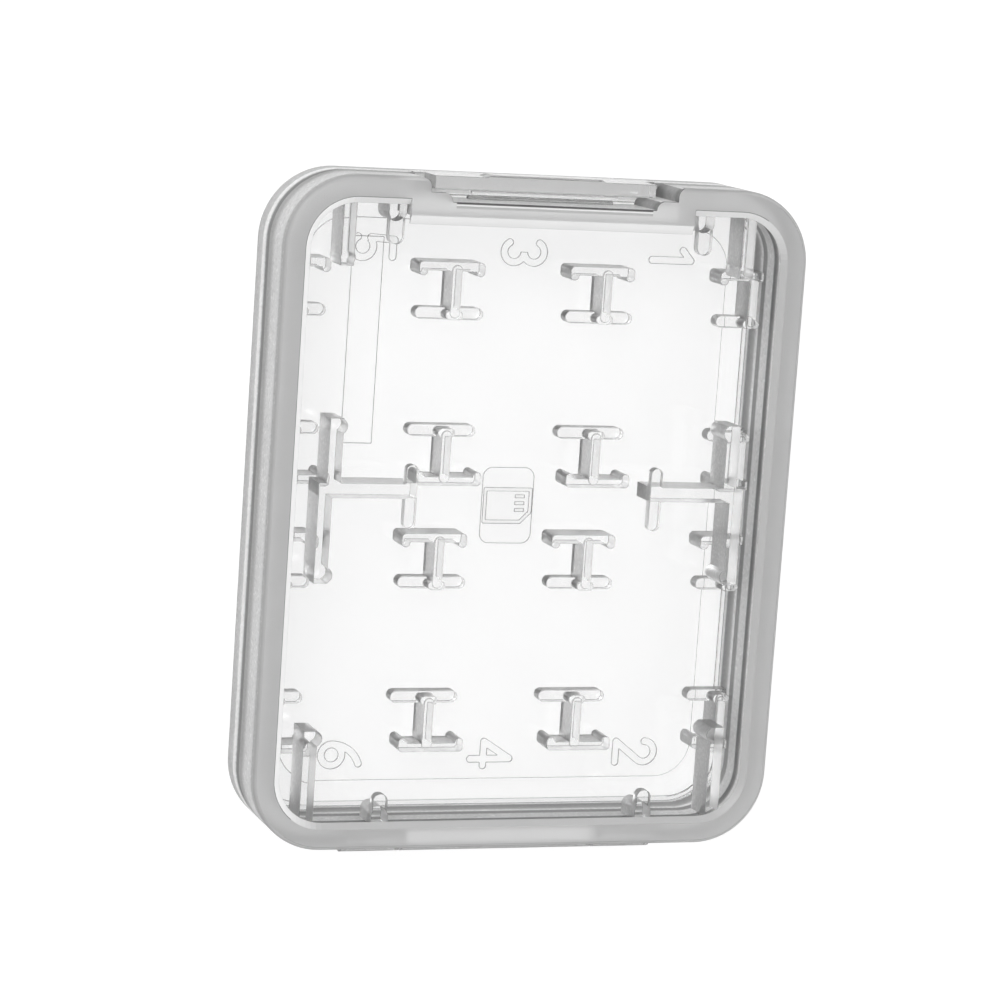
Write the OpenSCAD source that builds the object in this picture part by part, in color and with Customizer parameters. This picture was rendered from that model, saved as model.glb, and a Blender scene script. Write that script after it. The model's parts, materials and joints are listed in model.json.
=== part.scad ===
// Clear hinged case for memory cards: six small cards in the base half, one medium and one
// large card in the lid half. It lies closed on its back, lid up, latch towards +Y.

/* [Case] */
// Width across the case
case_w = 42.6; // [42:0.1:44]
// Length from hinge wall to latch wall
case_l = 52.3; // [52:0.1:54]
// Thickness when closed
case_t = 8; // [8:0.1:9]
// Height of the base half up to the parting plane
base_h = 3; // [2.9:0.1:3.4]
// Radius of the case's outer corners
corner_r = 5.7; // [5:0.1:6.5]
// Thickness of the side walls
wall = 1.7; // [1.5:0.1:1.8]

/* [Windows] */
// Width of the flat face of the rim
rim_face = 1.65; // [1.4:0.05:1.7]
// Width of the bevel between the rim face and a window
bevel_w = 0.5; // [0.3:0.05:0.6]
// Depth of the lid window below the rim
lid_recess = 0.4; // [0.3:0.05:0.5]
// Thickness of the lid window
lid_window_t = 0.9; // [0.7:0.05:0.9]
// Depth of the base window behind the back face
base_recess = 0.3; // [0.2:0.05:0.4]
// Thickness of the base window
base_window_t = 0.8; // [0.7:0.05:0.8]

/* [Small card posts] */
// Distance between neighbouring post columns
post_pitch = 12.43; // [12.3:0.01:12.5]
// Length of a small card's slot between end stops
slot_l = 15.3; // [15.1:0.1:15.4]
// Gap between the upper and the lower row of slots
slot_gap = 6; // [5.8:0.1:6.2]
// Height of the tall parts of a post
post_h = 2.5; // [2:0.1:2.5]
// Height of the shallow support bars
rest_h = 1.15; // [0.9:0.05:1.3]
// Width of a support bar
bar_w = 0.95; // [0.8:0.05:1]
// Length of a support bar
bar_l = 5.6; // [5.2:0.1:6]
// Width of the rib that joins the bars
rib_w = 0.8; // [0.7:0.05:0.9]
// Width of the tall end stop, its lips and the rib's foot
stop_w = 0.7; // [0.6:0.05:0.8]
// Sideways shift of the end stop on its post
stop_shift = 0.4; // [0:0.1:0.5]

/* [Large card posts] */
// Width of the large card's slot
large_w = 32.8; // [32.5:0.1:33]
// Width of the medium card's slot
medium_w = 31.6; // [31.3:0.1:31.9]
// Height of the tall posts in the lid
lid_post_h = 2.95; // [2.4:0.05:2.95]
// Height of the shallow pads in the lid
lid_pad_h = 0.8; // [0.6:0.05:0.9]
// Thickness of the divider arm
arm_t = 1.15; // [1:0.05:1.2]
// Lower face of the divider arm
arm_y = 1.35; // [1.2:0.05:1.5]
// Distance of the divider crossbars from the middle
crossbar_x = 10.1; // [9.8:0.1:10.6]

/* [Hinge and latch] */
// Width of the whole hinge
hinge_w = 26; // [24:0.5:27]
// Width of the middle knuckle
barrel_w = 16; // [15:0.5:17]
// Outer radius of the knuckles
knuckle_r = 1.05; // [1:0.05:1.1]
// Radius of the stub pins
pin_r = 0.5; // [0.45:0.05:0.55]
// Radial play of the stub pins
pin_play = 0.05; // [0.03:0.01:0.08]
// Distance of the hinge axis outside the wall
axis_out = 0.1; // [0.1:0.05:0.2]
// Width of the notch in the lid for the latch
notch_w = 20.1; // [19:0.1:21]
// Height of the latch tongue's tip
tongue_top = 5.65; // [5:0.05:6]
// Half the width of the latch tongue
tongue_half = 9.05; // [8.5:0.05:9.4]
// Thickness of the latch tongue
tongue_t = 1.05; // [0.9:0.05:1.1]
// How far the thumb grip stands out of the latch tab
grip_out = 0.2; // [0.1:0.05:0.3]

/* [Hidden] */
$fn = 48;
half_w = case_w / 2;
half_l = case_l / 2;
cavity_w = case_w - 2 * wall;
cavity_l = case_l - 2 * wall;
cavity_r = corner_r - wall;
floor_z = base_recess + base_window_t;
ceiling_z = case_t - lid_recess - lid_window_t;
edge_break = 0.25;
groove_in = 0.35;
groove_down = 0.7;
groove_r = 0.7;
post_clear = 0.15;

// The frame's origin is under the middle of the bounding box, so the whole case is moved by
// half the difference between the hinge's and the grip's overhang.
frame_y = (axis_out + knuckle_r - grip_out) / 2;

// Small card posts, measured from the middle of the support bar
stop_in = (slot_l / 2) - 4.6;
stop_out = stop_in + 1.1;
stop_half = 2.68;
foot_l = 1.4;
rib_rise = 0.1;
rib_start = -0.18;
rib_stop = stop_out - 0.25;
edge_tip = 2.45;
slot_mid = (slot_gap + slot_l) / 2;
bar_y = slot_mid + 4.6;

// Lid posts
lid_posts_x = 0.3;
post_t = 1.1;
lobe_r = 0.62;
lobe_bulge_lower = 0.38;
lobe_bulge_upper = 0.3;
lobe_bulge_top = 0.1;
upper_bar_top = 7.5;
lower_bar_bottom = -5.3;
crossbar_w = 0.95;
crossbar_top = 4;
crossbar_bottom = -1;
top_post_end = 19.15;
bottom_post_end = -16.9;
top_peg_x = 12.6;
bottom_peg_x = 11;
peg_r = 0.7;
pad_r = 0.6;
top_stop_y = 22.65;
bottom_stop_y = -23.05;
top_pad_y = 20.9;
bottom_pad_y = -21.95;

// Hinge
axis_y = -half_l - axis_out;
axis_z = case_t / 2;
pocket_y = -half_l + 1.1;
pin_l = 3.6;
knuckle_gap = 0.12;
knuckle_clear = 0.15;
ear_w = (hinge_w - barrel_w) / 2 - knuckle_gap;

// Latch
step_half = 11.55;
step_out = half_l - 1.8;
step_t = 1.1;
step_bevel = 0.7;
notch_r = 0.7;
tab_half = notch_w / 2 - 0.12;
tab_bottom = 1.2;
grip_half = 4.85;
grip_slope = 0.35;
grip_bottom = 3.6;
boss_r = 0.7;
boss_x = 9;
ridge_half = 6;
ridge_out = 0.35;
ridge_h = 0.6;
ridge_z = 4;
hook_out = 0.25;
hook_z = 4.95;

// Numerals and label
glyph_h = 3.9;
glyph_w = 2.3;
glyph_t = 0.6;
glyph_rise = 0.15;
glyph_y = 20.15;
label_w = 4.3;
label_l = 6.1;
label_r = 0.8;
label_rise = 0.12;

// Flat rounded rectangle, centred
module rounded_rect(w, l, r) {
    square([w - 2 * r, l], center = true);
    square([w, l - 2 * r], center = true);
    for (sx = [-1, 1], sy = [-1, 1])
        translate([sx * (w / 2 - r), sy * (l / 2 - r)]) circle(r);
}

// Plate with the outline of a rounded rectangle between two heights
module plate(w, l, r, z0, z1) {
    translate([0, 0, z0]) linear_extrude(z1 - z0) rounded_rect(w, l, r);
}

// Flat bar with round ends from p to q
module capsule(p, q, r) {
    d = q - p;
    for (c = [p, q]) translate(c) circle(r);
    translate((p + q) / 2) rotate(atan2(d.y, d.x)) square([norm(d), 2 * r], center = true);
}

// Part of a flat ring between two angles, under 180 degrees apart
module arc_band(c, r, a0, a1, t) {
    far = 3 * r + t;
    translate(c) intersection() {
        difference() {
            circle(r + t / 2);
            circle(r - t / 2);
        }
        polygon([[0, 0], far * [cos(a0), sin(a0)], far * [cos((a0 + a1) / 2), sin((a0 + a1) / 2)],
                 far * [cos(a1), sin(a1)]]);
    }
}

// Sweep of a wall profile around the case. The profile's x is the distance inwards from the
// outer face and its y is the height.
module wall_ring(profile) {
    for (side = [0, 1], flip = [0, 180]) {
        reach = side == 0 ? half_l : half_w;
        span = (side == 0 ? case_w : case_l) - 2 * corner_r;
        rotate(flip + side * 90) translate([-span / 2, -reach, 0])
            rotate([90, 0, 90]) linear_extrude(span) polygon(profile);
    }
    for (sx = [-1, 1], sy = [-1, 1]) {
        start = sx > 0 ? (sy > 0 ? 0 : 270) : (sy > 0 ? 90 : 180);
        translate([sx * (half_w - corner_r), sy * (half_l - corner_r), 0])
            rotate(start) rotate_extrude(angle = 90)
                polygon([for (p = profile) [corner_r - p.x, p.y]]);
    }
}

// Box between two corners
module block(low, high) {
    translate(low) cube(high - low);
}

// Upright column of a flat shape between two heights
module column(z0, z1) {
    translate([0, 0, z0]) linear_extrude(z1 - z0) children();
}

// Keeps only what is inside the cavity's outline. Above the given height it stays clear of the wall.
module in_cavity(clear_from = case_t) {
    intersection() {
        children();
        union() {
            plate(cavity_w, cavity_l, cavity_r, 0, clear_from);
            plate(cavity_w - 2 * post_clear, cavity_l, cavity_r - post_clear, 0, case_t);
        }
    }
}

// Places a finished sub-part in the frame
module placed() {
    translate([0, frame_y, 0]) children();
}

module base_frame() color("#c9cdcf") placed() difference() {
    wall_ring([
        [edge_break, 0], [rim_face, 0], [rim_face + bevel_w, base_recess], [wall, base_recess],
        [wall, base_h], [groove_in, base_h], [groove_in / 3, base_h - groove_down / 3],
        [0, base_h - groove_down], [0, edge_break]
    ]);
    block([-tab_half, half_l - wall - 1, tab_bottom], [tab_half, half_l + 1, case_t]);
    block([-barrel_w / 2, -half_l - 1, axis_z - 1.5], [barrel_w / 2, pocket_y, case_t]);
    for (s = [-1, 1])
        block([min(s * barrel_w / 2, s * (hinge_w / 2 + 0.2)), -half_l - 1,
               axis_z - knuckle_r - knuckle_clear],
              [max(s * barrel_w / 2, s * (hinge_w / 2 + 0.2)), pocket_y, case_t]);
}

module base_window() color("#eef2f4") placed() difference() {
    plate(cavity_w, cavity_l, cavity_r, base_recess, floor_z);
    plate(34.9, 44.7, 3, 0, base_recess + 0.1);
    block([-13.9, 4.7, 0], [-11.4, 20.9, base_recess + 0.18]);
}

// The tongue stands up from the wall in the lid's notch, with a thumb grip outside and a hook inside.
module latch_tab() color("#e3e7e9") placed() {
    tongue_in = half_l - tongue_t;
    block([-tab_half, half_l - wall, tab_bottom], [tab_half, half_l, base_h]);
    block([-tongue_half, tongue_in, base_h - 0.1], [tongue_half, half_l, tongue_top]);
    column(grip_bottom, tongue_top) polygon([
        [-grip_half, half_l - 0.1], [grip_half, half_l - 0.1], [grip_half, half_l],
        [grip_half - grip_slope, half_l + grip_out], [grip_slope - grip_half, half_l + grip_out],
        [-grip_half, half_l]
    ]);
    translate([-ridge_half, tongue_in, hook_z]) rotate([90, 0, 90]) linear_extrude(2 * ridge_half)
        polygon([[0.1, 0], [0, 0], [-hook_out, ridge_h / 2], [0, ridge_h], [0.1, ridge_h]]);
}

module hinge_barrel() color("#e3e7e9") placed() {
    block([-barrel_w / 2, -half_l, axis_z - 1.5], [barrel_w / 2, pocket_y, base_h]);
    block([-barrel_w / 2, -half_l, axis_z - 1.5], [barrel_w / 2, pocket_y - knuckle_clear, axis_z]);
    translate([-barrel_w / 2, axis_y, axis_z]) rotate([0, 90, 0]) cylinder(r = knuckle_r, h = barrel_w);
    translate([-barrel_w / 2 - pin_l, axis_y, axis_z]) rotate([0, 90, 0])
        cylinder(r = pin_r, h = barrel_w + 2 * pin_l);
}

// One H-shaped post with its end stop towards +Y. The bars reach to the given ends.
module h_post(left, right) {
    r = stop_w / 2;
    stop_l = max(-stop_half - stop_shift, left - stop_shift) + r;
    stop_r = min(stop_half - stop_shift, right) - r;
    column(0, rest_h) capsule([left + bar_w / 2, 0], [right - bar_w / 2, 0], bar_w / 2);
    column(0, post_h) {
        capsule([-foot_l / 2 + r, 0], [foot_l / 2 - r, 0], r);
        capsule([stop_l, stop_out - r], [stop_r, stop_out - r], r);
        for (x = [stop_l, stop_r]) capsule([x, stop_in + r], [x, stop_out - r], r);
    }
    column(0, post_h + rib_rise) capsule([0, rib_start + rib_w / 2], [0, rib_stop - rib_w / 2], rib_w / 2);
}

// The posts beside a side wall are half posts whose outer bars run into the wall.
module card_post(row, col) color("#dfe4e7") placed() in_cavity(base_h - post_clear) {
    x = (col - 2.5) * post_pitch;
    up = row == 1 || row == 3;
    y = row == 1 ? bar_y : row == 2 ? slot_mid - 4.6 : row == 3 ? -slot_mid + 4.6 : -bar_y;
    turned = up ? 1 : -1;
    wall_side = col == 1 ? -turned : col == 4 ? turned : 0;
    left = wall_side < 0 ? -2 : wall_side > 0 ? -edge_tip : -bar_l / 2;
    right = wall_side > 0 ? 2 : wall_side < 0 ? edge_tip : bar_l / 2;
    translate([x, y, floor_z]) rotate(up ? 0 : 180) h_post(left, right);
}

// Numerals are drawn upright around their middle.
module glyph_1() {
    capsule([0.25, -glyph_h / 2 + glyph_t / 2], [0.25, glyph_h / 2 - glyph_t / 2], glyph_t / 2);
    capsule([0.25, glyph_h / 2 - glyph_t / 2], [-0.55, glyph_h / 2 - 1], glyph_t / 2);
}

module glyph_2() {
    r = (glyph_w - glyph_t) / 2;
    top = glyph_h / 2 - glyph_t / 2 - r;
    low = -glyph_h / 2 + glyph_t / 2;
    arc_band([0, top], r, 60, 180, glyph_t);
    arc_band([0, top], r, -35, 61, glyph_t);
    capsule([r * cos(35), top - r * sin(35)], [-r, low], glyph_t / 2);
    capsule([-r, low], [r, low], glyph_t / 2);
    translate([-r, top]) circle(glyph_t / 2);
}

module glyph_3_bowl() {
    r = (glyph_h - glyph_t) / 4;
    arc_band([0, r], r, -90, 35, glyph_t);
    arc_band([0, r], r, 34, 150, glyph_t);
    translate([r * cos(150), r + r * sin(150)]) circle(glyph_t / 2);
}

module glyph_3() {
    glyph_3_bowl();
    mirror([0, 1]) glyph_3_bowl();
}

module glyph_4() {
    stem_x = 0.45;
    foot = -glyph_h / 2 + glyph_t / 2;
    cross_y = -0.55;
    capsule([stem_x, foot], [stem_x, glyph_h / 2 - glyph_t / 2], glyph_t / 2);
    capsule([stem_x, glyph_h / 2 - glyph_t / 2], [-0.95, cross_y], glyph_t / 2);
    capsule([-0.95, cross_y], [1, cross_y], glyph_t / 2);
}

module glyph_5() {
    r = (glyph_w - glyph_t) / 2;
    top = glyph_h / 2 - glyph_t / 2;
    mid = -glyph_h / 2 + glyph_t / 2 + r;
    capsule([0.75, top], [-0.6, top], glyph_t / 2);
    capsule([-0.6, top], [-0.7, mid + r * 0.75], glyph_t / 2);
    arc_band([0, mid], r, -60, 60, glyph_t);
    arc_band([0, mid], r, 59, 140, glyph_t);
    arc_band([0, mid], r, -150, -59, glyph_t);
    translate([r * cos(150), mid - r * sin(150)]) circle(glyph_t / 2);
}

module glyph_6() {
    r = (glyph_w - glyph_t) / 2;
    low = -glyph_h / 2 + glyph_t / 2 + r;
    big = 2.4;
    difference() {
        translate([0, low]) circle(r + glyph_t / 2);
        translate([0, low]) circle(r - glyph_t / 2);
    }
    arc_band([big - r, low], big, 110, 180, glyph_t);
    translate([big - r + big * cos(110), low + big * sin(110)]) circle(glyph_t / 2);
}

// Slots are numbered down the columns, starting at the right. Numerals read from the left side.
module numeral(n) color("#e8ecee") placed() {
    column_x = n <= 2 ? post_pitch : n <= 4 ? 0 : -post_pitch;
    side = n % 2 == 1 ? 1 : -1;
    translate([column_x, side * glyph_y, floor_z]) rotate(-90) linear_extrude(glyph_rise) {
        if (n == 1) glyph_1();
        if (n == 2) glyph_2();
        if (n == 3) glyph_3();
        if (n == 4) glyph_4();
        if (n == 5) glyph_5();
        if (n == 6) glyph_6();
    }
}

module label_plate() color("#e8ecee") placed()
    plate(label_w, label_l, label_r, floor_z, floor_z + label_rise);

// Outline of a small card with a cut corner and its row of contacts
module card_pictogram() color("#e8ecee") placed() {
    w = 2.6;
    l = 3.8;
    line = 0.3;
    card = [[-w / 2, -l / 2], [w / 2, -l / 2], [w / 2, l / 2 - 0.8], [w / 2 - 0.8, l / 2], [-w / 2, l / 2]];
    translate([0, 0, floor_z + label_rise]) linear_extrude(label_rise) rotate(-90) {
        for (i = [0 : len(card) - 1])
            capsule(card[i], card[(i + 1) % len(card)], line / 2);
        for (i = [0 : 2])
            translate([-0.75 + 0.55 * i, 1]) square([0.28, 0.8], center = true);
    }
}

// Plan of the notch for the latch: straight ends with rounded outer corners
module notch_plan() {
    depth = half_l - step_out;
    translate([0, half_l + 0.5 - depth / 2]) square([notch_w, depth + 1], center = true);
    for (s = [0, 1]) mirror([s, 0]) translate([notch_w / 2, half_l - notch_r]) difference() {
        square([notch_r, notch_r + 0.1]);
        translate([notch_r, 0]) circle(notch_r);
    }
}

// Rounded boss that fills each inner corner of the notch
module notch_bosses() {
    for (s = [-1, 1]) {
        block([min(s * boss_x, s * notch_w / 2), step_out - 0.1, base_h],
              [max(s * boss_x, s * notch_w / 2), step_out + boss_r, case_t]);
        translate([s * boss_x, step_out, base_h]) cylinder(r = boss_r, h = case_t - base_h);
    }
}

// The rim is cut through for the latch, and a thick wall steps inwards behind the notch.
module lid_frame() color("#c3c7c9") placed() {
    difference() {
        union() {
            wall_ring([
                [groove_r, base_h], [wall, base_h], [wall, case_t - lid_recess],
                [rim_face + bevel_w, case_t - lid_recess], [rim_face, case_t], [edge_break, case_t],
                [0, case_t - edge_break], [0, base_h + groove_r],
                for (a = [22.5 : 22.5 : 67.5]) [groove_r * (1 - cos(a)), base_h + groove_r * (1 - sin(a))]
            ]);
            translate([-step_half, 0, 0]) rotate([90, 0, 90]) linear_extrude(2 * step_half) polygon([
                [half_l - rim_face, base_h], [half_l - rim_face, case_t], [step_out - step_t, case_t],
                [step_out - step_t - step_bevel, case_t - lid_recess],
                [step_out - step_t, case_t - lid_recess], [step_out - step_t, base_h]
            ]);
        }
        column(base_h - 1, case_t + 1) notch_plan();
        block([-hinge_w / 2 - 0.2, -half_l - 1, base_h - 1], [hinge_w / 2 + 0.2, pocket_y, axis_z + 1.5]);
    }
    notch_bosses();
}

module lid_window() color("#eef2f4") placed() difference() {
    plate(cavity_w, cavity_l, cavity_r, ceiling_z, case_t - lid_recess);
    block([-step_half, step_out - step_t, 0], [step_half, half_l, case_t]);
}

// Ridge on the stepped wall that catches under the tongue's hook
module catch_ridge() color("#dfe4e7") placed()
    translate([-ridge_half, step_out, ridge_z]) rotate([90, 0, 90]) linear_extrude(2 * ridge_half)
        polygon([[0, 0], [ridge_out, ridge_h / 2], [0, ridge_h]]);

// Outer knuckle: the web fills the pocket in the lid's wall.
module hinge_ear(s) color("#dfe4e7") placed() {
    inner = s * (barrel_w / 2 + knuckle_gap);
    outer = s * hinge_w / 2;
    difference() {
        union() {
            block([min(inner, outer), -half_l, base_h], [max(inner, outer), pocket_y, axis_z + 1.5]);
            translate([min(inner, outer), axis_y, axis_z]) rotate([0, 90, 0])
                cylinder(r = knuckle_r, h = ear_w);
        }
        translate([min(inner, outer) - 1, axis_y, axis_z]) rotate([0, 90, 0])
            cylinder(r = pin_r + pin_play, h = ear_w + 2);
    }
}

// Upright lid post hanging from the window, with a round lobe that touches the card's side
module side_post(face_x, y0, y1, lobe_y, bulge) {
    block([-face_x - post_t, y0, ceiling_z - lid_post_h], [-face_x, y1, ceiling_z]);
    translate([-face_x + bulge - lobe_r, lobe_y, ceiling_z - lid_post_h])
        cylinder(r = lobe_r, h = lid_post_h);
}

// The lid's posts sit a little to the right of the middle. Side is -1 at the left and 1 at the right.
module lid_post(side) color("#dfe4e7") placed() in_cavity()
    translate([lid_posts_x, 0, 0]) mirror([side > 0 ? 1 : 0, 0, 0]) children();

// T-shaped divider between the large and the medium card
module divider(side) lid_post(side) {
    large_x = large_w / 2;
    medium_x = medium_w / 2;
    side_post(medium_x, arm_y, upper_bar_top, upper_bar_top - lobe_r, lobe_bulge_upper);
    side_post(large_x, lower_bar_bottom, arm_y + arm_t, lower_bar_bottom + lobe_r, lobe_bulge_lower);
    block([-large_x, arm_y, ceiling_z - lid_post_h], [-crossbar_x + crossbar_w / 2, arm_y + arm_t, ceiling_z]);
    column(ceiling_z - lid_pad_h, ceiling_z)
        capsule([-crossbar_x, crossbar_bottom + crossbar_w / 2], [-crossbar_x, crossbar_top - crossbar_w / 2],
                crossbar_w / 2);
}

// Corner post above or below
module corner_post(side, top) lid_post(side) {
    if (top) side_post(medium_w / 2, top_post_end, half_l, top_post_end + lobe_r, lobe_bulge_top);
    else side_post(large_w / 2, -half_l, bottom_post_end, bottom_post_end - lobe_r, lobe_bulge_lower);
}

// Stop peg: a tall stop for the card's end and a shallow pad under its face
module stop_peg(side, top) lid_post(side) {
    x = top ? -top_peg_x : -bottom_peg_x;
    out = top ? 1 : -1;
    stop_y = top ? top_stop_y : bottom_stop_y;
    pad_y = top ? top_pad_y : bottom_pad_y;
    column(ceiling_z - lid_post_h, ceiling_z)
        capsule([x, stop_y + out * peg_r], [x, out * half_l], peg_r);
    column(ceiling_z - lid_pad_h, ceiling_z)
        capsule([x, pad_y + out * pad_r], [x, out * half_l], pad_r);
}

base_frame();
base_window();
latch_tab();
hinge_barrel();
card_post(1, 1);  // card_post_r1c1
card_post(1, 2);  // card_post_r1c2
card_post(1, 3);  // card_post_r1c3
card_post(1, 4);  // card_post_r1c4
card_post(2, 1);  // card_post_r2c1
card_post(2, 2);  // card_post_r2c2
card_post(2, 3);  // card_post_r2c3
card_post(2, 4);  // card_post_r2c4
card_post(3, 1);  // card_post_r3c1
card_post(3, 2);  // card_post_r3c2
card_post(3, 3);  // card_post_r3c3
card_post(3, 4);  // card_post_r3c4
card_post(4, 1);  // card_post_r4c1
card_post(4, 2);  // card_post_r4c2
card_post(4, 3);  // card_post_r4c3
card_post(4, 4);  // card_post_r4c4
numeral(1);  // numeral_1
numeral(2);  // numeral_2
numeral(3);  // numeral_3
numeral(4);  // numeral_4
numeral(5);  // numeral_5
numeral(6);  // numeral_6
label_plate();
card_pictogram();
lid_frame();
lid_window();
catch_ridge();
hinge_ear(-1);  // hinge_ear_left
hinge_ear(1);  // hinge_ear_right
divider(-1);  // divider_left
divider(1);  // divider_right
corner_post(-1, true);  // corner_post_top_left
corner_post(1, true);  // corner_post_top_right
corner_post(-1, false);  // corner_post_bottom_left
corner_post(1, false);  // corner_post_bottom_right
stop_peg(-1, true);  // stop_peg_top_left
stop_peg(1, true);  // stop_peg_top_right
stop_peg(-1, false);  // stop_peg_bottom_left
stop_peg(1, false);  // stop_peg_bottom_right
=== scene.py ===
import json

import bmesh
import bpy
import numpy as np
from mathutils import Matrix, Vector


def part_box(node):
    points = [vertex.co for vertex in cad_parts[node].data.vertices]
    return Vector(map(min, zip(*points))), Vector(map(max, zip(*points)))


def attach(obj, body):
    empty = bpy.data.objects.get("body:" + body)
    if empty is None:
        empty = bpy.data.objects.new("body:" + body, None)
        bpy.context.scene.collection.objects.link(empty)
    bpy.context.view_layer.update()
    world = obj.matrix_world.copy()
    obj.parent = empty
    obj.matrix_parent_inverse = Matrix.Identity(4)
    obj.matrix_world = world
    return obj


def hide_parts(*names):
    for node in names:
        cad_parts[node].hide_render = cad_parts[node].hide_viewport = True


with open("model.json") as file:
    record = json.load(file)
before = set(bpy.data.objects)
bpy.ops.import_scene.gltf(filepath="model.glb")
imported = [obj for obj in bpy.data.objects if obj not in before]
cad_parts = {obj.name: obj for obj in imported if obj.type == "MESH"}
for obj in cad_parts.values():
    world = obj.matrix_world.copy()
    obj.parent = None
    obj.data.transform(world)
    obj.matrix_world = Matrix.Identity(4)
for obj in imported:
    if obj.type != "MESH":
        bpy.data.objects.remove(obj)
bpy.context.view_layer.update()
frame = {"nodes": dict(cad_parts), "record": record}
MM = 0.001

# Camera. The case lies on its back, and the camera looks down on it from the left and a little from the
# latch's side, turned so that the latch is at the top. The turns are in radians.
FOCAL_PX = 3625.1
TILT_X, TILT_Y, TILT_Z = 0.1597, 0.3411, -0.0690
SHIFT_X_MM, SHIFT_Y_MM, DISTANCE_MM = 0.049, -0.161, 288.5
OUTLINE_Y_MM = 0.475
SENSOR_MM = 36.0
IMAGE_PX = 1000.0
NEAREST, FARTHEST = 0.01, 10.0


def make_camera():
    """The case's axes are turned by Rz Rx Ry into the camera's axes, whose rows are right, up and back.
    The camera stands on the back axis at the given distance from the middle of the case's outline."""
    cx, sx = np.cos(TILT_X), np.sin(TILT_X)
    cy, sy = np.cos(TILT_Y), np.sin(TILT_Y)
    cz, sz = np.cos(TILT_Z), np.sin(TILT_Z)
    about_x = np.array([[1, 0, 0], [0, cx, -sx], [0, sx, cx]])
    about_y = np.array([[cy, 0, sy], [0, 1, 0], [-sy, 0, cy]])
    about_z = np.array([[cz, -sz, 0], [sz, cz, 0], [0, 0, 1]])
    axes = about_z @ about_x @ about_y
    place = axes.T @ np.array([-SHIFT_X_MM, -SHIFT_Y_MM, DISTANCE_MM])
    place[1] += OUTLINE_Y_MM
    data = bpy.data.cameras.new("camera")
    data.sensor_width = SENSOR_MM
    data.lens = FOCAL_PX / IMAGE_PX * SENSOR_MM
    data.clip_start, data.clip_end = NEAREST, FARTHEST
    camera = bpy.data.objects.new("camera", data)
    turn = Matrix([list(row) for row in axes.T]).to_4x4()
    camera.matrix_world = Matrix.Translation(place * MM) @ turn
    bpy.context.scene.collection.objects.link(camera)
    bpy.context.scene.camera = camera


make_camera()


class Link:
    """One output socket, so that shader maths reads as an expression."""

    def __init__(self, net, socket):
        self.net, self.socket = net, socket

    def _math(self, operation, a, b):
        return self.net.add("ShaderNodeMath", {"operation": operation}, {0: a, 1: b})

    def __add__(self, other):
        return self._math("ADD", self, other)

    def __mul__(self, other):
        return self._math("MULTIPLY", self, other)

    def __sub__(self, other):
        return self._math("SUBTRACT", self, other)

    def __rsub__(self, other):
        return self._math("SUBTRACT", other, self)

    __radd__ = __add__
    __rmul__ = __mul__


class Net:
    """The node tree of a material or world, filled one node at a time."""

    def __init__(self, owner):
        owner.use_nodes = True
        self.tree = owner.node_tree
        self.tree.nodes.clear()

    def add(self, kind, settings=None, sockets=None, out=0):
        """Adds a node, sets its settings, among them a ramp's stops as pairs of place and grey, and gives
        its input sockets their links or values. Returns the named output."""
        node = self.tree.nodes.new(kind)
        for name, value in (settings or {}).items():
            if name == "stops":
                ramp = node.color_ramp
                while len(ramp.elements) < len(value):
                    ramp.elements.new(0.5)
                for element, (place, tone) in zip(ramp.elements, value):
                    element.position = place
                    element.color = grey(tone)
            else:
                setattr(node, name, value)
        for name, value in (sockets or {}).items():
            if isinstance(value, Link):
                self.tree.links.new(value.socket, node.inputs[name])
            else:
                node.inputs[name].default_value = value
        return Link(self, node.outputs[out]) if len(node.outputs) else None

    def mix(self, factor, a, b, blend="MIX"):
        return self.add("ShaderNodeMix", {"data_type": "RGBA", "blend_type": blend}, {
            0: factor, 6: a, 7: b}, out=2)

    def ramp(self, value, stops):
        return self.add("ShaderNodeValToRGB", {"stops": stops}, {0: value})

    def noise(self, place, scale, detail):
        return self.add("ShaderNodeTexNoise", None, {"Vector": place, "Scale": scale, "Detail": detail})

    def attribute(self, name):
        return self.add("ShaderNodeAttribute", {"attribute_name": name}, None, out="Fac")

    def coordinate(self, place, axis):
        return self.add("ShaderNodeSeparateXYZ", None, {0: place}, out=axis)

    def compare(self, operation, value, limit):
        return self.add("ShaderNodeMath", {"operation": operation}, {0: value, 1: limit})


def grey(level):
    return (level, level, level, 1.0)


def lamp_shadow(net, surface, level):
    """Lets lamps through a clear surface: rays that only test for shadow meet a clear tint instead of
    refraction."""
    clear = net.add("ShaderNodeBsdfTransparent", None, {"Color": grey(level)})
    ray = net.add("ShaderNodeLightPath", None, None, out="Is Shadow Ray")
    return net.add("ShaderNodeMixShader", None, {0: ray, 1: surface, 2: clear})


FRAMES = ("base_frame", "lid_frame")
HINGE = ("hinge_barrel", "hinge_ear_left", "hinge_ear_right")
CASE_T = max(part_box(node)[1][2] for node in FRAMES)
HALF_SIZE = [abs(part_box("lid_frame")[1][axis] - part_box("lid_frame")[0][axis]) / 2 for axis in (0, 1)]
MIDDLE_Y = OUTLINE_Y_MM * MM
CORNER = 5.7 * MM

# The step behind the latch. The front face has a painted highlight line and painted shade lines along the
# step's edge, which is where the lip ends.
STEP_Y = MIDDLE_Y + HALF_SIZE[1] - 1.8 * MM
LIP_WIDTH, LIP_HALF = 0.5 * MM, 8.0 * MM
LIP_PAINTED_LIGHT_AND_SHADE = [(0.0, 0.64), (0.2, 0.40), (0.44, 0.40), (0.5, 0.84), (0.70, 0.84), (0.76, 0.05), (1.0, 0.05)]
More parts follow.
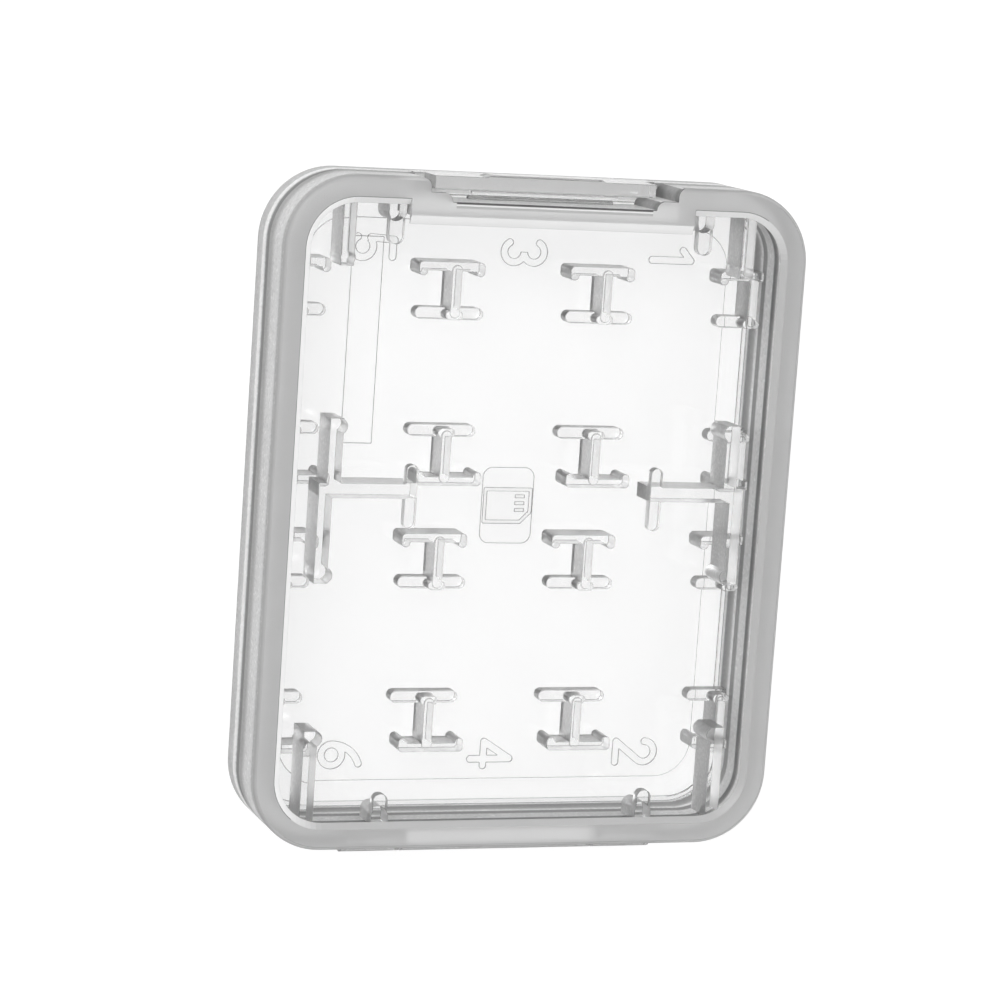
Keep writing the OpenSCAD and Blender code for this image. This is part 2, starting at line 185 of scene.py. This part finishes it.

# Painted light and shade of the frosted walls, as bands by height: pairs of height in millimetres and grey.
# They paint the walls' shading, their bright lines and the shadow in the parting gap, and the step's list
# paints a dark line of shade at its top
OUTSIDE_PAINTED_LIGHT_BANDS = [
    (0.0, 0.68), (0.1, 0.68), (0.3, 0.50), (1.7, 0.54), (2.0, 0.98), (2.4, 0.98), (2.65, 0.17), (3.1, 0.19),
    (3.5, 0.30), (4.4, 0.36), (5.2, 0.74), (6.6, 0.84), (7.0, 0.80), (7.35, 0.45), (7.8, 0.48), (7.95, 0.64)]
INSIDE_PAINTED_LIGHT_BANDS = [
    (1.0, 0.98), (1.15, 0.18), (1.5, 0.18), (2.1, 0.30), (2.35, 0.45), (2.6, 0.85), (2.85, 0.85), (3.05, 0.22),
    (3.6, 0.22), (3.85, 0.78), (5.0, 0.78), (5.2, 0.10), (5.6, 0.12), (5.85, 0.3), (6.05, 0.85), (6.3, 0.8),
    (6.5, 0.33), (6.7, 0.4), (6.9, 0.7)]
STEP_PAINTED_SHADE_BANDS = [(4.0, 0.6), (6.5, 0.85), (7.6, 0.85), (7.68, 0.04), (8.0, 0.04)]

# Tones of single faces of the frames: painted shade on the notch walls, painted light on the slope by the way
# it faces, and painted shade as dark lines on edges
NOTCH_PAINTED_SHADE = 0.42
SLOPE_TONE, SLOPE_PAINTED_LIGHT_RIGHT, SLOPE_PAINTED_LIGHT_HINGE = 0.46, 0.5, 0.34
SLOPE_EDGE_PAINTED_SHADE, STEP_EDGE_PAINTED_SHADE, PAINTED_BRIGHT_SLOPE = 0.2, 0.03, 0.75


def clear_plastic(name, tint, side_painted_shade, edge_painted_shade, roughness, side_roughness, ripple, ior=1.52):
    """Clear moulding. Its flats are polished, with a faint haze and flow ripples. Its upright sides keep the
    grain of the cutter that sank the mould, so that they are duller and rougher, with bright specks, and
    their darker grey is painted shade. Its rounded edges are darker lines of painted shade."""
    material = bpy.data.materials.new(name)
    net = Net(material)
    place = net.add("ShaderNodeTexCoord", None, None, out="Object")
    side, edge = net.attribute("side"), net.attribute("edge")
    flow = net.noise(place, 260.0, 2.0)
    haze = net.noise(place, 1500.0, 3.0)
    grain = net.noise(place, 4200.0, 2.0)
    # Painted shade: upright sides take a darker grey with random specks, and rounded edges a darker grey still
    speck = net.ramp(grain, [(0.30, 0.82 * side_painted_shade), (0.55, side_painted_shade), (0.72, min(1.0, 1.35 * side_painted_shade))])
    tone = net.mix(edge, net.mix(side, grey(tint), speck), grey(edge_painted_shade))
    rough = haze * (2 * roughness) + side * (side_roughness - roughness)
    normal = net.add("ShaderNodeBump", None, {"Strength": ripple, "Distance": 0.0002, "Height": flow})
    surface = net.add("ShaderNodeBsdfPrincipled", None, {
        "Base Color": tone, "Roughness": rough, "IOR": ior, "Transmission Weight": 1.0, "Normal": normal})
    net.add("ShaderNodeOutputMaterial", None, {"Surface": lamp_shadow(net, surface, 0.9)})
    return material


def painted_light_by_height(net, height, tones):
    """A grey that follows the height, which runs from 0 at the back to 1 at the front: bands of painted light
    and shade.
    """
    return net.ramp(height, [(z / CASE_T * MM, tone) for z, tone in tones])


def frosted_plastic(name, roughness, through, edge_painted_shade, ior=1.5):
    """Finely textured translucent moulding: rough refraction over a milky body, with a fine grain. Painted
    light and shade follow the height up the wall, by one list outside, another inside and a third on the step
    behind the latch, but for the faces that have their own painted tone. The front face has a painted
    highlight line and painted shade lines along the step's edge, and the notch walls are darkened by painted
    shade. Upright walls have bright and dull specks. The faces that carry the polish attribute are clear, with
    edges darkened by painted shade, and those of the slope round the front are a matt skin."""
    material = bpy.data.materials.new(name)
    net = Net(material)
    place = net.add("ShaderNodeTexCoord", None, None, out="Object")
    grain = net.noise(place, 9000.0, 2.0)
    cloud = net.noise(place, 300.0, 3.0)
    spot = net.noise(place, 3600.0, 3.0)
    normal = net.add("ShaderNodeBump", None, {"Strength": 0.35, "Distance": 0.00003, "Height": grain})
    height = net.coordinate(place, "Z") * (1 / CASE_T)
    # Painted light and shade: grey bands by height along the outside, inside and step walls
    painted_light_band = net.mix(net.attribute("inside"), painted_light_by_height(net, height, OUTSIDE_PAINTED_LIGHT_BANDS),
                   painted_light_by_height(net, height, INSIDE_PAINTED_LIGHT_BANDS))
    painted_light_band = net.mix(net.attribute("step"), painted_light_band, painted_light_by_height(net, height, STEP_PAINTED_SHADE_BANDS))

    # Painted highlight and shade lines on the front face along the step's edge
    lip = net.ramp((net.coordinate(place, "Y") - (STEP_Y - LIP_WIDTH)) * (1 / LIP_WIDTH), LIP_PAINTED_LIGHT_AND_SHADE)
    off_middle = net.add("ShaderNodeMath", {"operation": "ABSOLUTE"}, {0: net.coordinate(place, "X")})
    on_lip = net.compare("LESS_THAN", off_middle, LIP_HALF) * net.compare("GREATER_THAN", height, 0.99)
    painted_light_band = net.mix(on_lip, painted_light_band, lip)

    # Faces with their own tone: the slope's painted light and the painted shade of edges
    own_tone = net.attribute("own_tone")
    tone = net.mix(net.compare("GREATER_THAN", own_tone, 0.01), painted_light_band, own_tone)
    speck = net.ramp(spot, [(0.32, 0.82), (0.44, 1.0), (0.58, 1.0), (0.70, 1.3)])
    mottle = net.mix(net.attribute("side"), net.mix(cloud, grey(0.96), grey(1.03)), speck)
    colour = net.mix(1.0, tone, mottle, "MULTIPLY")
    # Painted shade: the notch walls are darkened
    colour = net.mix(1.0, colour, net.attribute("dim"), "MULTIPLY")
    rough = grain * 0.16 + (roughness - 0.08)
    frost = net.add("ShaderNodeBsdfPrincipled", None, {
        "Base Color": colour, "Roughness": rough, "IOR": ior, "Transmission Weight": through,
        "Normal": normal})
    skin = net.add("ShaderNodeBsdfPrincipled", None, {
        "Base Color": colour, "Roughness": rough, "IOR": ior, "Normal": normal})
    # Polished faces are clear, with edges darkened by painted shade
    clear = net.add("ShaderNodeBsdfPrincipled", None, {
        "Base Color": net.mix(net.attribute("edge"), grey(0.99), grey(edge_painted_shade)),
        "Roughness": cloud * 0.04, "IOR": ior, "Transmission Weight": 1.0})
    surface = net.add("ShaderNodeMixShader", None, {0: net.attribute("slope"), 1: frost, 2: skin})
    surface = net.add("ShaderNodeMixShader", None, {0: net.attribute("polish"), 1: surface, 2: clear})
    net.add("ShaderNodeOutputMaterial", None, {"Surface": lamp_shadow(net, surface, 0.5)})
    return material


# The finish of each material slot, and how wide its sharp edges are rounded
FINISH = {
    "clear_window": clear_plastic(
        "clear_window", tint=1.0, side_painted_shade=0.96, edge_painted_shade=0.6, roughness=0.01, side_roughness=0.02,
        ripple=0.02),
    "clear_post": clear_plastic(
        "clear_post", tint=1.0, side_painted_shade=0.68, edge_painted_shade=0.5, roughness=0.03, side_roughness=0.3,
        ripple=0.12),
    "clear_fitting": clear_plastic(
        "clear_fitting", tint=1.0, side_painted_shade=0.7, edge_painted_shade=0.5, roughness=0.06, side_roughness=0.3,
        ripple=0.12),
    "moulded_mark": clear_plastic(
        "moulded_mark", tint=1.0, side_painted_shade=0.2, edge_painted_shade=0.2, roughness=0.02, side_roughness=0.2,
        ripple=0.02, ior=1.08),
    "frosted_rim": frosted_plastic("frosted_rim", roughness=0.45, through=0.5, edge_painted_shade=0.3),
}
ROUNDING = {
    "clear_window": 0.05 * MM, "clear_post": 0.09 * MM, "clear_fitting": 0.1 * MM,
    "moulded_mark": 0.035 * MM, "frosted_rim": 0.1 * MM,
}
ROUNDING_SEGMENTS = 3
SHARP_ANGLE = np.radians(32)
FLAT_ANGLE = 0.01
HAIRLINE = 0.002 * MM
MERGED, MARK_MERGED = 0.0008 * MM, 0.02 * MM
FLAT_FACE_WEIGHT = 90

# How strongly upright sides show the cutter's grain and their painted shade, where not fully, and how strongly
# the hinge does all over
SIDE_GRAIN_AND_SHADE = {"latch_tab": 0.3, "catch_ridge": 0.3}
ALL_OVER_GRAIN_AND_SHADE = 0.4

# How deep the zones next to the front and the back face reach, and the zone of the latch: half its width, and
# its middle and half its reach inside the latch wall
FRONT_ZONE, BACK_ZONE = 1.5 * MM, 0.5 * MM
LATCH_HALF, LATCH_IN, LATCH_REACH = 11 * MM, 1 * MM, 0.97 * MM

# The least vertical share of a flat face's normal and of the slope's, the most of an upright wall's and of a
# side's, and the least outward share of an outside face's
FLAT, TILTED, UPRIGHT, SIDE, OUTWARD = 0.9, 0.2, 0.3, 0.5, 0.2


def face_array(mesh, name):
    values = np.empty(len(mesh.polygons) * 3)
    mesh.polygons.foreach_get(name, values)
    return values.reshape(-1, 3)


def write_array(mesh, name, values):
    mesh.attributes.new(name, "FLOAT", "FACE").data.foreach_set("value", values.astype(float))


def mark_frame(mesh, edge):
    """Only the outside of the mould is textured, so a frame's face is polished unless it looks outwards, up
    from the front or down from the back. Outwards is the direction to the face from the outline's core, the
    case's rectangle less the corner radius, so that it turns round the corners. The slope between the front
    face and the window is matt, and its tone is raised by painted light the further its normal points right
    or to the hinge. Its edges carry painted shade, as dark lines, where it is bright. The latch's notch has
    dull walls darkened by painted shade, but for the step behind it, which has painted bands of light and
    shade of its own and an edge darkened by painted shade."""
    place, normal = face_array(mesh, "center"), face_array(mesh, "normal")
    rise = normal[:, 2]
    level = place[:, :2] - (0, MIDDLE_Y)
    outwards = np.sign(level) * np.maximum(np.abs(level) - np.array(HALF_SIZE) + CORNER, 0)
    outwards /= np.maximum(np.linalg.norm(outwards, axis=1), 1e-9)[:, None]
    looks_out = (normal[:, :2] * outwards).sum(axis=1)
    level_normal = normal[:, :2] / np.maximum(np.linalg.norm(normal[:, :2], axis=1), 1e-9)[:, None]
    upright = np.abs(rise) < UPRIGHT
    front = place[:, 2] > CASE_T - FRONT_ZONE
    face = (front & (rise > FLAT)) | ((rise < -FLAT) & (place[:, 2] < BACK_ZONE))
    latch = (np.abs(level[:, 0]) < LATCH_HALF) & (np.abs(level[:, 1] - HALF_SIZE[1] + LATCH_IN) < LATCH_REACH)
    notch = latch & upright
    step = notch & (normal[:, 1] > FLAT)
    slope = front & (rise > TILTED) & (rise < FLAT) & (looks_out < OUTWARD)
    matt = slope | notch | face | (looks_out > OUTWARD)
    inside = upright & (looks_out < OUTWARD) & ~notch

    # Painted light: the slope is lighter the more it faces right or to the hinge
    slope_tone_and_painted_light = SLOPE_TONE + SLOPE_PAINTED_LIGHT_RIGHT * np.maximum(level_normal[:, 0], 0)
    slope_tone_and_painted_light += SLOPE_PAINTED_LIGHT_HINGE * np.maximum(-level_normal[:, 1], 0)
    own = np.where(slope, np.minimum(slope_tone_and_painted_light, 1), 0)
    # Painted shade: dark lines on the slope's edges where it is bright, and on the step's edge
    own = np.where(edge & front & matt & (looks_out < OUTWARD) & (slope_tone_and_painted_light > PAINTED_BRIGHT_SLOPE), SLOPE_EDGE_PAINTED_SHADE, own)
    own = np.where(edge & front & latch & (rise < FLAT), STEP_EDGE_PAINTED_SHADE, own)
    write_array(mesh, "own_tone", own)
    # Painted shade on the notch walls, but not on the step
    write_array(mesh, "dim", np.where(notch & ~step, NOTCH_PAINTED_SHADE, 1))
    write_array(mesh, "step", step)
    write_array(mesh, "inside", inside)
    write_array(mesh, "slope", slope)
    write_array(mesh, "polish", ~(matt | inside))


def moulded(node, body, slot):
    """A copy of the node's surface with its doubles merged and its flat facets joined, whose sharp edges are
    rounded. The frames shrink by a hairline along their normals and every other piece grows by two, so that
    what is moulded in one piece overlaps and the two frames stay apart."""
    mesh = frame["nodes"][node].data.copy()
    work = bmesh.new()
    work.from_mesh(mesh)
    merged = MARK_MERGED if slot == "moulded_mark" else MERGED
    bmesh.ops.remove_doubles(work, verts=work.verts[:], dist=merged)
    bmesh.ops.dissolve_limit(work, angle_limit=FLAT_ANGLE, verts=work.verts[:], edges=work.edges[:])
    work.to_mesh(mesh)
    points = np.empty(len(mesh.vertices) * 3)
    normals = np.empty(len(mesh.vertices) * 3)
    mesh.vertices.foreach_get("co", points)
    mesh.vertices.foreach_get("normal", normals)
    mesh.vertices.foreach_set("co", points + normals * (-HAIRLINE if node in FRAMES else 2 * HAIRLINE))
    work.clear()
    work.from_mesh(mesh)
    sharp = [edge for edge in work.edges if edge.is_manifold and edge.calc_face_angle() > SHARP_ANGLE]
    bmesh.ops.bevel(
        work, geom=sharp, offset=ROUNDING[slot], offset_type="OFFSET", segments=ROUNDING_SEGMENTS,
        profile=0.5, affect="EDGES", clamp_overlap=slot != "moulded_mark", loop_slide=True,
        miter_outer="ARC", material=1)
    work.to_mesh(mesh)
    work.free()
    index = np.empty(len(mesh.polygons), dtype=np.int32)
    mesh.polygons.foreach_get("material_index", index)
    write_array(mesh, "edge", index == 1)
    side = np.abs(face_array(mesh, "normal")[:, 2]) < SIDE
    all_over = ALL_OVER_GRAIN_AND_SHADE if node in HINGE else 0
    # The side weight sets both the cutter's grain and the painted shade of upright faces
    write_array(mesh, "side", np.maximum(side * SIDE_GRAIN_AND_SHADE.get(node, 1), all_over))
    if node in FRAMES:
        mark_frame(mesh, index == 1)
    mesh.polygons.foreach_set("material_index", np.zeros_like(index))
    mesh.materials.clear()
    mesh.materials.append(FINISH[slot])
    mesh.shade_smooth()
    mesh.update()
    piece = bpy.data.objects.new(node + "_moulded", mesh)
    bpy.context.scene.collection.objects.link(piece)
    shade = piece.modifiers.new("flat_faces", "WEIGHTED_NORMAL")
    shade.keep_sharp = False
    shade.weight = FLAT_FACE_WEIGHT
    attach(piece, body)
    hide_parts(node)


SLOT_OF = {part["node"]: part["material_slot"] for part in frame["record"]["subparts"]}
for body, nodes in frame["record"]["behaviour"]["bodies"].items():
    for node in nodes:
        moulded(node, body, SLOT_OF[node])

FLOOR_HALF = 1.5
FLOOR_GAP = 0.02 * MM


def make_floor():
    """A pale floor just under the case. What the camera sees of it, straight, in a reflection or through
    plastic, is white with a light shadow, and for all other light it is a plain pale surface."""
    mesh = bpy.data.meshes.new("floor")
    h = FLOOR_HALF
    mesh.from_pydata([(-h, -h, 0), (h, -h, 0), (h, h, 0), (-h, h, 0)], [], [(0, 1, 2, 3)])
    floor = bpy.data.objects.new("floor", mesh)
    bpy.context.scene.collection.objects.link(floor)
    floor.location.z = -FLOOR_GAP
    material = bpy.data.materials.new("pale_floor")
    net = Net(material)
    rays = net.add("ShaderNodeLightPath", None, None, out="Is Camera Ray")
    kinds = rays.socket.node.outputs
    seen = rays + Link(net, kinds["Is Glossy Ray"]) + Link(net, kinds["Is Transmission Ray"])
    seen = net.add("ShaderNodeMath", {"operation": "MINIMUM"}, {0: seen, 1: 1.0})
    lit = net.add("ShaderNodeBsdfDiffuse", None, {"Color": grey(0.8)})
    part = net.add("ShaderNodeBsdfDiffuse", None, {"Color": grey(0.22)})
    glow = net.add("ShaderNodeEmission", None, {"Color": grey(1.0), "Strength": 0.86})
    pale = net.add("ShaderNodeAddShader", None, {0: part, 1: glow})
    net.add("ShaderNodeOutputMaterial", None, {
        "Surface": net.add("ShaderNodeMixShader", None, {0: seen, 1: lit, 2: pale})})
    mesh.materials.append(material)


def make_world():
    """A white room as the camera sees it. For all other light it is white at the horizon and darker above."""
    world = bpy.data.worlds.new("studio")
    bpy.context.scene.world = world
    net = Net(world)
    toward = net.add("ShaderNodeTexCoord", None, None, out="Generated")
    sky = net.ramp(net.coordinate(toward, "Z"), [(0.0, 1.0), (0.25, 1.0), (0.7, 0.30), (1.0, 0.18)])
    rays = net.add("ShaderNodeLightPath", None, None, out="Is Camera Ray")
    room = net.add("ShaderNodeBackground", None, {"Color": sky, "Strength": 1.0})
    white = net.add("ShaderNodeBackground", None, {"Color": grey(1.0), "Strength": 1.0})
    net.add("ShaderNodeOutputWorld", None, {
        "Surface": net.add("ShaderNodeMixShader", None, {0: rays, 1: room, 2: white})})


def make_lamp(name, place, size, power):
    """A square lamp that points at the case, which lies at the origin."""
    data = bpy.data.lights.new(name, "AREA")
    data.shape = "SQUARE"
    data.size = size
    data.energy = power
    lamp = bpy.data.objects.new(name, data)
    bpy.context.scene.collection.objects.link(lamp)
    lamp.location = place
    lamp.rotation_mode = "QUATERNION"
    lamp.rotation_quaternion = (-Vector(place)).to_track_quat("-Z", "Y")


make_floor()
make_world()
make_lamp("key", place=(-0.35, 0.35, 0.55), size=0.35, power=3.2)
make_lamp("fill", place=(0.45, -0.25, 0.5), size=0.4, power=1.6)

bpy.context.scene.view_settings.view_transform = "Standard"
